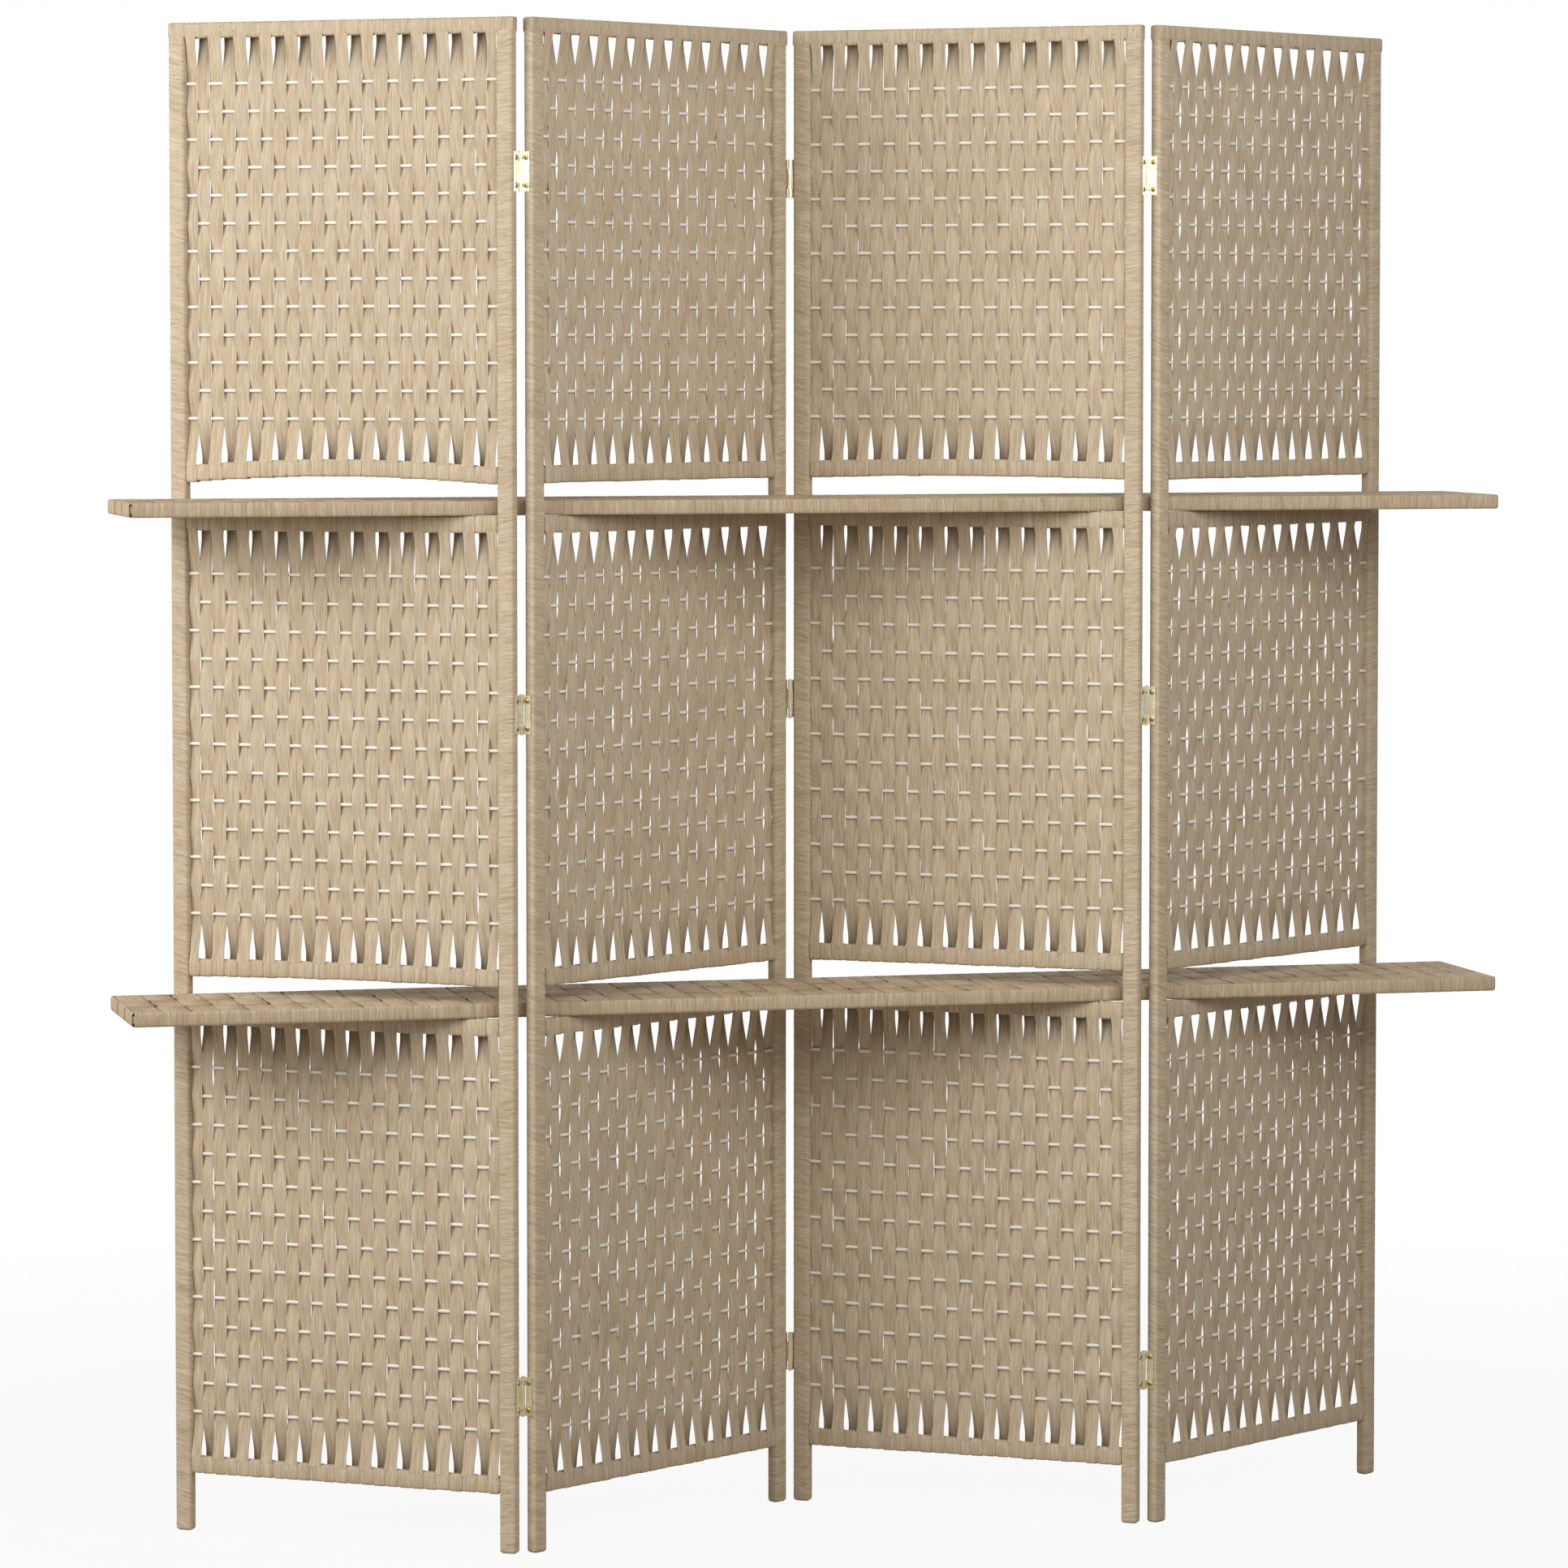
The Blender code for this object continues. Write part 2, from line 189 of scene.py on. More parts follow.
def band_marks(across, along, painted_shade=0.0):
    """The marks of one band, for every corner of every ring.

    A mark is the place across and along a band, the band's own number, and how much painted shade
    that place gets, for the shade in a gap or crevice; the paper is painted darker there.
    """
    across, along, painted_shade = np.broadcast_arrays(across, along, painted_shade)
    number = np.full(across.shape, rng.uniform(0.0, BAND_NUMBERS))
    return np.stack((across, along, number, painted_shade), axis=2)


class Bands:
    """Gathers paper bands into one mesh; every band is a closed body with its own marks."""

    def __init__(self):
        self.points = []
        self.faces = []
        self.marks = []
        self.count = 0

    def add_rings(self, rings, marks):
        """rings: ring, corner, axis. marks have one corner more, for where a ring closes."""
        ring_count, corners = rings.shape[:2]
        grid = self.count + np.arange(ring_count * corners).reshape(ring_count, corners)
        after = np.roll(grid, -1, axis=1)
        sides = np.stack((grid[:-1], after[:-1], after[1:], grid[1:]), axis=-1)
        self.faces.extend(sides.reshape(-1, 4).tolist())
        self.faces.append(grid[0, ::-1].tolist())
        self.faces.append(grid[-1].tolist())
        self.points.append(rings.reshape(-1, 3))
        here, beside = marks[:, :-1], marks[:, 1:]
        side_marks = np.stack((here[:-1], beside[:-1], beside[1:], here[1:]), axis=2)
        self.marks.append(side_marks.reshape(-1, 4))
        self.marks.append(here[0, ::-1])
        self.marks.append(here[-1])
        self.count += ring_count * corners

    def add_band(self, line, across, outward, half_widths, thickness, drop, painted_shade=0.0):
        """A flat band along a line; its edges curl back from outward by drop."""
        shares = np.array((-1.0, -BAND_FLAT_SHARE, BAND_FLAT_SHARE, 1.0))
        curl = np.array((-1.0, 0.0, 0.0, -1.0)) * drop
        side = np.concatenate((shares, shares[::-1]))
        rise = np.concatenate((curl + thickness / 2, curl[::-1] - thickness / 2))
        widths = side[None, :] * half_widths[:, None]
        rings = (
            line[:, None, :]
            + across[:, None, :] * widths[:, :, None]
            + outward[:, None, :] * rise[None, :, None]
        )
        steps = np.linalg.norm(np.diff(line, axis=0), axis=1)
        along = np.concatenate(((0.0,), np.cumsum(steps)))
        closing = [*range(len(side)), 0]
        painted_shade = np.broadcast_to(painted_shade, widths.shape)
        marks = band_marks(widths[:, closing], along[:, None], painted_shade[:, closing])
        faces_inward = np.sum(np.cross(across, outward) * np.gradient(line, axis=0)) > 0
        if faces_inward:
            rings, marks = rings[::-1], marks[::-1]
        self.add_rings(rings, marks)

    def build(self, name, material, sharp_angle=SHARP_ANGLE):
        mesh = bpy.data.meshes.new(name)
        mesh.from_pydata(np.concatenate(self.points).tolist(), [], self.faces)
        marks = np.concatenate(self.marks)
        band = mesh.attributes.new("band", "FLOAT_VECTOR", "CORNER")
        band.data.foreach_set("vector", marks[:, :3].ravel())
        painted_shade = mesh.attributes.new("painted_shade", "FLOAT", "CORNER")
        painted_shade.data.foreach_set("value", marks[:, 3].ravel())
        mesh.shade_smooth()
        mesh.set_sharp_from_angle(angle=math.radians(sharp_angle))
        mesh.materials.append(material)
        mesh.update()
        made = bpy.data.objects.new(name, mesh)
        bpy.context.scene.collection.objects.link(made)
        return made


def rounded_outline(half_a, half_b, corner, corner_steps):
    """Corners of a rounded rectangle, starting at the middle of its upper long side."""
    points = [(0.0, half_b)]
    for turn_start, sign_a, sign_b in ((90, -1, 1), (180, -1, -1), (270, 1, -1), (0, 1, 1)):
        for step in range(corner_steps + 1):
            turn = math.radians(turn_start + 90 * step / corner_steps)
            a = sign_a * (half_a - corner) + corner * math.cos(turn)
            b = sign_b * (half_b - corner) + corner * math.sin(turn)
            points.append((a, b))
    return np.array(points)


def girth_marks(outline):
    """How far round an outline each corner is, with the whole girth at the end."""
    closed = np.vstack((outline, outline[:1]))
    return np.concatenate(((0.0,), np.cumsum(np.linalg.norm(np.diff(closed, axis=0), axis=1))))


def place_on_panel(piece, number, *moves):
    """Puts a piece in a panel's own frame, moves it there, and lets it ride on that panel."""
    heading = -FOLD_HALF_ANGLE if number % 2 else FOLD_HALF_ANGLE
    middle = Vector(((2 * number - 5) * HALF_PANEL_STEP, 0.0, 0.0))
    place = Matrix.Translation(middle) @ Matrix.Rotation(heading, 4, "Z")
    for move in moves:
        place = place @ move
    piece.matrix_world = place
    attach(piece, f"panel_{number}")


def wound_upright(middle_x, slant):
    """The band round one stile, ring by ring, with uneven pleats that follow the winding."""
    half_width, half_thickness = STILE_WIDTH / 2, STILE_THICKNESS / 2
    outline = rounded_outline(half_width, half_thickness, STILE_CORNER, STILE_CORNER_STEPS)
    around = girth_marks(outline)
    heights = np.arange(0.0, SCREEN_HEIGHT - TOP_RAIL_HEIGHT / 2, WIND_RING_STEP)
    turn = heights[:, None] + around[None, :] * slant / around[-1] + WIND_PITCH
    pleats = np.arange(0.0, SCREEN_HEIGHT + 2 * WIND_PITCH, PLEAT_SPACING)
    depths = rng.uniform(0.0, 1.0, len(pleats)) ** PLEAT_UNEVENNESS * PLEAT_DEPTH
    changes = len(heights) // RINGS_TO_A_CHANGE + 2
    strengths = rng.uniform(FAINTEST_PLEAT, 1.0, (changes, len(outline)))
    passed = np.arange(len(heights)) / RINGS_TO_A_CHANGE
    last = passed.astype(int)
    gone = (passed - last)[:, None]
    strength = strengths[last] * (1 - gone) + strengths[last + 1] * gone
    sag = np.interp(turn[:, :-1], pleats, depths) * strength
    foot = np.clip(1 - heights / STILE_END_ROUND, 0, 1)
    sag = sag + STILE_END_ROUND * (1 - np.sqrt(1 - foot ** 2))[:, None] * STILE_END_SHARE
    scale = 1 - sag / np.linalg.norm(outline, axis=1)[None, :]
    rings = np.empty((len(heights), len(outline), 3))
    rings[:, :, 0] = middle_x + outline[None, :, 0] * scale
    rings[:, :, 1] = outline[None, :, 1] * scale
    rings[:, :, 2] = heights[:, None]
    return rings, band_marks(turn, around[None, :])


WOUND_PAPER = paper_band(
    "wound_paper", PAPER_LIGHT, PAPER_DARK, relief=0.0007, creases=470.0, run=38.0, wander=0.0060,
)
for number in PANELS:
    for side, sign, slant in (("left", -1, WIND_PITCH), ("right", 1, -WIND_PITCH / 2)):
        bands = Bands()
        bands.add_rings(*wound_upright(sign * (PANEL_WIDTH - STILE_WIDTH) / 2, slant))
        wrap = bands.build(f"panel_{number}_{side}_stile_wrap", WOUND_PAPER)
        place_on_panel(wrap, number)
        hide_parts(f"panel_{number}_{side}_stile")

# Rods: thirteen thin off-white rods across each woven section, between its two stiles.
# They are peeled core cane, straight but for a slight bow, and let into the uprights.
# Each section's name, the height of its foot above the floor, and its own height.
SECTIONS = (
    ("lower", 0.0700, 0.5600),
    ("middle", 0.6688, 0.5510),
    ("upper", 1.2586, 0.5414),
)
SECTION_HALF = (PANEL_WIDTH - 2 * STILE_WIDTH) / 2
ROD_COUNT = 13
ROD_RADIUS = 0.00200
ROD_FIRST_BELOW_TOP = 0.0720
ROD_LAST_ABOVE_BOTTOM = 0.0735
ROD_SIDES = 10
ROD_RINGS = 26
ROD_BOW = 0.0005
CANE_LIGHT = (0.950, 0.920, 0.860)
CANE_DARK = (0.830, 0.775, 0.680)
CANE_DARK_STOP = 0.25
CANE_LIGHT_STOP = 0.60
CANE_STRETCH = (1500.0, 60.0, 11.0)
CANE_RELIEF = 0.0002
CANE_ROUGHNESS = 0.45
CANE_GRAIN_ROUGHNESS = 0.2


def rod_heights(height):
    """Heights of the rods above the foot of a section, from the top down."""
    return np.linspace(height - ROD_FIRST_BELOW_TOP, ROD_LAST_ABOVE_BOTTOM, ROD_COUNT)


def peeled_cane():
    """Off-white core cane with a fine grain along the rod."""
    made, sheet = blank_material("peeled_cane")
    place = sheet.node("ShaderNodeAttribute", {"attribute_name": "band"}, {}, "Vector")
    grain = stretched_noise(sheet, place, CANE_STRETCH)
    stops = ((CANE_DARK_STOP, CANE_DARK), (CANE_LIGHT_STOP, CANE_LIGHT))
    colour = sheet.node("ShaderNodeValToRGB", {"stops": stops}, {"Fac": grain})
    bump = sheet.node("ShaderNodeBump", {}, {"Height": grain, "Distance": CANE_RELIEF})
    roughness = CANE_ROUGHNESS + grain * CANE_GRAIN_ROUGHNESS
    finish_material(sheet, {"Base Color": colour, "Roughness": roughness, "Normal": bump})
    return made


def add_bar(bands, stations, outline, around, level, painted_shade=0.0):
    """A bar along X: an outline at each station, raised to the level there."""
    axes = (stations[:, None], outline[None, :, 0], level + outline[None, :, 1])
    rings = np.stack(np.broadcast_arrays(*axes), axis=2)
    bands.add_rings(rings, band_marks(around[None, :], stations[:, None], painted_shade))


PEELED_CANE = peeled_cane()
rod_angles = np.linspace(0.0, math.tau, ROD_SIDES, endpoint=False)
rod_outline = ROD_RADIUS * np.stack((np.cos(rod_angles), np.sin(rod_angles)), axis=1)
rod_around = ROD_RADIUS * np.arange(ROD_SIDES + 1) * math.tau / ROD_SIDES
rod_stations = np.linspace(-SECTION_HALF, SECTION_HALF, ROD_RINGS)
rod_bend = np.cos(rod_stations / SECTION_HALF * math.pi / 2)
for number in PANELS:
    for section, bottom, height in SECTIONS:
        bands = Bands()
        for level in rod_heights(height):
            levels = bottom + level + rng.uniform(-ROD_BOW, ROD_BOW) * rod_bend
            add_bar(bands, rod_stations, rod_outline, rod_around, levels[:, None])
        rods = bands.build(f"panel_{number}_{section}_rods", PEELED_CANE)
        place_on_panel(rods, number)

# Woven sections: 25 upright bands of twisted paper fibre on two papered wooden rails.
# Thirteen leave the front of the rails and twelve the back; they pass behind and before
# the rods in turn. Their ends are wound round the rails side by side and glued.
STRIP_COUNT = 25
STRIP_PITCH = 0.0162
END_STRIP_PLACE = 0.1920
END_STRIP_SHARE = 0.80
STRIP_THICKNESS = 0.0007
STRIP_CURL = 0.00025
STRIP_WANDER = 0.0005
STRIP_WIDTH_WANDER = 0.00045
STRIP_LEAN = 0.07
STRIP_TUCK = 0.002
ROD_REACH = 0.0021
FRONT_HALF = 0.0089
BEHIND_HALF = 0.0090
MEETING_HALF = 0.0082
MEETING_SHARE = 0.78
RAIL_EDGE_HALF = 0.0085
NARROWEST_HALF = 0.0071
NARROWEST_BELOW_RAIL = 0.013
NARROWING_POWER = 0.7
PINCH_POWER = 1.5
RAIL_TO_ROD_SHARES = (0.0, 0.06, 0.14, 0.25, 0.38, 0.52, 0.66, 0.78, 0.90)
RAIL_TO_ROD_BELLY = 0.03
ROD_TO_ROD_SHARES = (0.0, 0.12, 0.30, 0.5, 0.70, 0.88)
STRAIGHT_SHARE = 0.45
TOP_SKEW = -0.00065
BOTTOM_SKEW = 0.0011
SKEW_REACH = 0.060
# Painted shade on the strips near the rails: how strong it is at a rail, and how fast it fades
# away from it.
RAIL_PAINTED_SHADE = 0.50
PAINTED_SHADE_POWER = 1.5
RAIL_HEIGHT = 0.020
RAIL_HALF_DEPTH = 0.0071
RAIL_CORNER = 0.0028
RAIL_CORNER_STEPS = 2
RAIL_RINGS = 21
RAIL_BULGE = 0.0009
CORE_INSET = 0.0009
WRAP_SHARE = 0.972
WRAP_CURL = 0.0007
OVER_STILE = 0.0003
OVER_STILE_SHARES = (0.25, 0.75)
OVER_STILE_FILL = 0.99
# Where a bottom rail is bowed: its rise at the middle, and how far the whole rail sags.
NO_ARCH = (0.0, 0.0)
ARCHES = {
    (1, "upper"): (0.0085, 0.0022),
    (1, "middle"): (0.0020, 0.0010),
    (3, "upper"): (0.0030, 0.0),
}
# How far the strips crowd to the right, or below zero to the left, in each panel's
# lower, middle and upper section.
CROWDING = {
    1: (-0.004, 0.004, 0.003),
    2: (0.001, -0.007, -0.006),
    3: (0.000, -0.002, -0.002),
    4: (0.000, -0.003, -0.007),
}


def strip_places(crowding):
    """Middles of the strips across a section, and each one's share of the plain pitch."""
    inner = (np.arange(1, STRIP_COUNT - 1) - (STRIP_COUNT - 1) / 2) * STRIP_PITCH
    inner = inner + crowding * (1 - (inner / SECTION_HALF) ** 2)
    places = np.concatenate(((-END_STRIP_PLACE,), inner, (END_STRIP_PLACE,)))
    shares = np.full(STRIP_COUNT, END_STRIP_SHARE)
    shares[1:-1] = (places[2:] - places[:-2]) / 2 / STRIP_PITCH
    return places, shares


def rail_lift(middle, arch):
    """How far a bottom rail lies above its straight line."""
    rise, sag = arch
    return rise * np.clip(1 - (middle / SECTION_HALF) ** 2, 0, 1) - sag


def end_half_width(distance, span):
    """Half width of a strip at a distance from the rail, when the first rod is a span away."""
    if distance < NARROWEST_BELOW_RAIL:
        gone = distance / NARROWEST_BELOW_RAIL
        return RAIL_EDGE_HALF + (NARROWEST_HALF - RAIL_EDGE_HALF) * gone ** NARROWING_POWER
    meeting = span * MEETING_SHARE - NARROWEST_BELOW_RAIL
    grown = min(1.0, (distance - NARROWEST_BELOW_RAIL) / meeting)
    return NARROWEST_HALF + (MEETING_HALF - NARROWEST_HALF) * grown


def rail_to_rod(rail_depth, rail_level, rod_depth, rod_level):
    """A strip's depths, heights and half widths from a rail to just before the first rod."""
    run = []
    for share in RAIL_TO_ROD_SHARES:
        eased = share + RAIL_TO_ROD_BELLY * math.sin(math.pi * share)
        depth = rail_depth + (rod_depth - rail_depth) * eased
        level = rail_level + (rod_level - rail_level) * share
        half = end_half_width(abs(level - rail_level), abs(rod_level - rail_level))
        run.append((depth, level, half))
    return run


def strip_line(index, height, top_rail, lift):
    """Depth, height above the section's foot and half width, from the top rail down."""
    rods = rod_heights(height)
    parity = 1 if index % 2 == 0 else -1
    rail_depth = -parity * (RAIL_HALF_DEPTH - STRIP_THICKNESS / 2)
    top = height - top_rail + STRIP_TUCK
    bottom = RAIL_HEIGHT - STRIP_TUCK + lift
    run = rail_to_rod(rail_depth, top, parity * ROD_REACH, rods[0])
    for place in range(ROD_COUNT - 1):
        depth = ROD_REACH * parity * (1 if place % 2 == 0 else -1)
        half_here = BEHIND_HALF if depth > 0 else FRONT_HALF
        half_next = FRONT_HALF if depth > 0 else BEHIND_HALF
        for share in ROD_TO_ROD_SHARES:
            straight = 1 - 2 * share
            wave = STRAIGHT_SHARE * straight + (1 - STRAIGHT_SHARE) * math.cos(math.pi * share)
            level = rods[place] + (rods[place + 1] - rods[place]) * share
            near = half_here if share < 0.5 else half_next
            pinch = abs(straight) ** PINCH_POWER
            run.append((depth * wave, level, MEETING_HALF + (near - MEETING_HALF) * pinch))
    depth = ROD_REACH * parity * (1 if (ROD_COUNT - 1) % 2 == 0 else -1)
    run.append((depth, rods[-1], BEHIND_HALF if depth > 0 else FRONT_HALF))
    run.extend(reversed(rail_to_rod(rail_depth, bottom, depth, rods[-1])))
    return np.array(run)


def soft_noise(count, every, size):
    """A smooth random run of values, one for each ring of a band."""
    knots = rng.uniform(-size, size, count // every + 3)
    return np.interp(np.arange(count) / every, np.arange(len(knots)), knots)


def add_strip(bands, middle, share, run, bottom):
    """One strip from the top rail to the bottom one, behind and before the rods in turn."""
    count = len(run)
    near_top = np.clip(1 - (run[0, 1] - run[:, 1]) / SKEW_REACH, 0, 1)
    near_bottom = np.clip(1 - (run[:, 1] - run[-1, 1]) / SKEW_REACH, 0, 1)
    side = np.sign(run[0, 0])
    skew = side * (TOP_SKEW * near_top + BOTTOM_SKEW * near_bottom)
    line = np.empty((count, 3))
    line[:, 0] = middle + skew + soft_noise(count, every=6, size=STRIP_WANDER)
    line[:, 1] = run[:, 0]
    line[:, 2] = run[:, 1] + bottom
    slope = np.gradient(line, axis=0)
    slope /= np.linalg.norm(slope, axis=1)[:, None]
    lean = soft_noise(count, every=9, size=STRIP_LEAN)
    across = np.stack((np.cos(lean), np.sin(lean), np.zeros(count)), axis=1)
    outward = np.cross(across, slope)
    outward *= np.where(outward[:, 1:2] > 0, -1.0, 1.0)
    halves = run[:, 2] * share + soft_noise(count, every=4, size=STRIP_WIDTH_WANDER)
    # Painted shade: near the rails, the face of a strip that turns into the gap between the front
    # and back strips is painted darker, for the shade in that gap.
    inner_face = np.repeat((side > 0, side < 0), 4)
    near_rail = np.maximum(near_top, near_bottom) ** PAINTED_SHADE_POWER
    painted_shade = (RAIL_PAINTED_SHADE * near_rail)[:, None] * inner_face
    bands.add_band(line, across, outward, halves, STRIP_THICKNESS, STRIP_CURL, painted_shade)


def add_rail_wrap(bands, middle, half, centre, half_depth, half_height):
    """One turn of band round a rail, ending where it starts."""
    outline = rounded_outline(half_depth, half_height, RAIL_CORNER, RAIL_CORNER_STEPS)
    outline = np.vstack((outline, outline[:1]))
    shrink = 1 - STRIP_THICKNESS / 2 / np.linalg.norm(outline, axis=1)[:, None]
    outline = outline * shrink
    bulge = rng.uniform(0.0, RAIL_BULGE) / half_height
    outline[:, 1] *= np.where(outline[:, 1] < 0, 1 + bulge, 1.0)
    count = len(outline)
    line = np.stack((
        np.full(count, middle) + soft_noise(count, every=4, size=STRIP_WANDER),
        outline[:, 0],
        centre + outline[:, 1],
    ), axis=1)
    outward = np.stack((np.zeros(count), outline[:, 0], outline[:, 1]), axis=1)
    outward /= np.linalg.norm(outward, axis=1)[:, None]
    across = np.repeat(((1.0, 0.0, 0.0),), count, axis=0)
    bands.add_band(line, across, outward, np.full(count, half), STRIP_THICKNESS, WRAP_CURL)


def add_rail_core(bands, half_length, centre, half_depth, half_height, arch):
    """The papered bar inside a rail, which closes the ends and the gaps between turns."""
    core_depth, core_height = half_depth - CORE_INSET, half_height - CORE_INSET
    outline = rounded_outline(core_depth, core_height, RAIL_CORNER, RAIL_CORNER_STEPS)
    stations = np.linspace(-half_length, half_length, RAIL_RINGS)
    levels = centre + rail_lift(stations, arch)
    add_bar(bands, stations, outline, girth_marks(outline), levels[:, None])


def add_rail(bands, places, shares, centre, half_height, arch, over_stiles):
    """A rail with one turn of band for each strip; the top one runs over the stiles too."""
    for middle, share in zip(places, shares):
        lift = rail_lift(middle, arch)
        half = STRIP_PITCH / 2 * share * WRAP_SHARE
        add_rail_wrap(bands, middle, half, centre + lift, RAIL_HALF_DEPTH, half_height)
    add_rail_core(bands, SECTION_HALF, centre, RAIL_HALF_DEPTH, half_height, arch)
    if over_stiles:
        half_depth = STILE_THICKNESS / 2 + OVER_STILE
        half_length = PANEL_WIDTH / 2 - CORE_INSET / 2
        add_rail_core(bands, half_length, centre, half_depth, half_height, NO_ARCH)
        half = STILE_WIDTH / 4 * OVER_STILE_FILL
        for sign in (-1, 1):
            for share in OVER_STILE_SHARES:
                middle = sign * (SECTION_HALF + STILE_WIDTH * share)
                add_rail_wrap(bands, middle, half, centre, half_depth, half_height)


WOVEN_PAPER = paper_band(
    "woven_paper", PAPER_LIGHT, PAPER_DARK, relief=0.0007, creases=560.0, run=24.0, wander=0.0020,
)
for number in PANELS:
    for (section, bottom, height), crowding in zip(SECTIONS, CROWDING[number]):
        arch = ARCHES.get((number, section), NO_ARCH)
        top_rail = TOP_RAIL_HEIGHT if section == "upper" else RAIL_HEIGHT
        places, shares = strip_places(crowding)
        bands = Bands()
        for index, (middle, share) in enumerate(zip(places, shares)):
            run = strip_line(index, height, top_rail, rail_lift(middle, arch))
            add_strip(bands, middle, share, run, bottom)
        low_centre = bottom + RAIL_HEIGHT / 2
        high_centre = bottom + height - top_rail / 2
        add_rail(bands, places, shares, low_centre, RAIL_HEIGHT / 2, arch, False)
        add_rail(bands, places, shares, high_centre, top_rail / 2, NO_ARCH, section == "upper")
        strips = bands.build(f"panel_{number}_{section}_strips", WOVEN_PAPER)
        place_on_panel(strips, number)
        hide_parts(f"panel_{number}_{section}_weave")

# Shelves: two long flat boards, woven over with the same paper band.
# Cross strands go round the board in pairs and make its front; long strands run from end to
# end in three rows of four and turn over the ends. The rows pass over and under the pairs.
# Each shelf's name and the height of its underside.
SHELF_LEVELS = (("lower_shelf", 0.6303), ("upper_shelf", 1.2201))
SHELF_HALF_LENGTH = 0.8375
SHELF_HALF_DEPTH = 0.098
SHELF_THICKNESS = 0.017
SHELF_CORNER = 0.0024
PAIR_COUNT = 50
ROW_COUNT = 3
STRANDS_IN_ROW = 4
CROSS_HALF_LENGTH = 0.8345
LONG_HALF_DEPTH = 0.0950
STRAND_THICKNESS = 0.0009
STRAND_CURL = 0.00028
STRAND_FILL = 1.01
STRAND_WANDER = 0.00018
# The middle of a strand where it lies on top, and where it dives under others.
HIGH_LEVEL = SHELF_THICKNESS / 2 - STRAND_THICKNESS / 2
LOW_LEVEL = HIGH_LEVEL - STRAND_THICKNESS * 2.8
PASS_LENGTH = 0.0022
SEAM_WIDTH = 0.0046
MID_CELL_SLACK = 0.35
LEAST_PASS_SLACK = 0.2
SLACK_UNEVENNESS = 1.5
END_FACE_SLACK = 0.8
# Painted shade along the free edges of strands at the seams of the shelf weave, at full slack.
SEAM_PAINTED_SHADE = 0.95
BEND_SHARE = 0.3
BEND_OUTWARD = 0.7
SIDE_RING_SHARE = 0.62
# The edge of a band that each corner of its ring is on, or 0 for the flat between them.
EDGE_OF_CORNER = np.array((-1, 0, 0, 1, 1, 0, 0, -1))
BOARD_INSET = STRAND_THICKNESS * 1.6
BOARD_CORNER_STEPS = 2
BOARD_RINGS = 34
BOARD_END = 0.0030
BOARD_PAPER_EDGE = 0.0005
# Painted shade on the board inside a shelf: near-black under the weave, where there is only
# shade, and light at its ends.
BOARD_PAINTED_SHADE = 0.97
BOARD_END_PAINTED_SHADE = 0.15
SHELF_PAPER_LIGHT = (0.700, 0.570, 0.405)
SHELF_PAPER_DARK = (0.400, 0.285, 0.165)


def woven_face(half_reach, half_cells, cell_count, over):
    """One face of a strand's loop, end to end: reach, level and the slack of its free edge.

    over says for each cell of the weave whether the strand lies on top there.
    """
    end = half_reach - SHELF_CORNER
    cell = 2 * half_cells / cell_count
    face = [(-end, HIGH_LEVEL, 0.0)]
    for number in range(cell_count):
        start = -half_cells + cell * number
        middle = start + cell / 2
        level = HIGH_LEVEL if over(number) else LOW_LEVEL
        for place in (start + PASS_LENGTH / 2, middle, start + cell - PASS_LENGTH / 2):
            slack = MID_CELL_SLACK
            if place != middle:
                slack = rng.uniform(LEAST_PASS_SLACK, 1.0) ** SLACK_UNEVENNESS
            face.append((place, level, slack))
    face.append((end, HIGH_LEVEL, 0.0))
    return np.array(face).T


def round_board(face, turn, under_face, far_turn):
    """Joins the top face, a turn, the lower face and the other turn into one closed loop."""
    return np.concatenate((face, turn, under_face[::-1], far_turn, face[:1]))


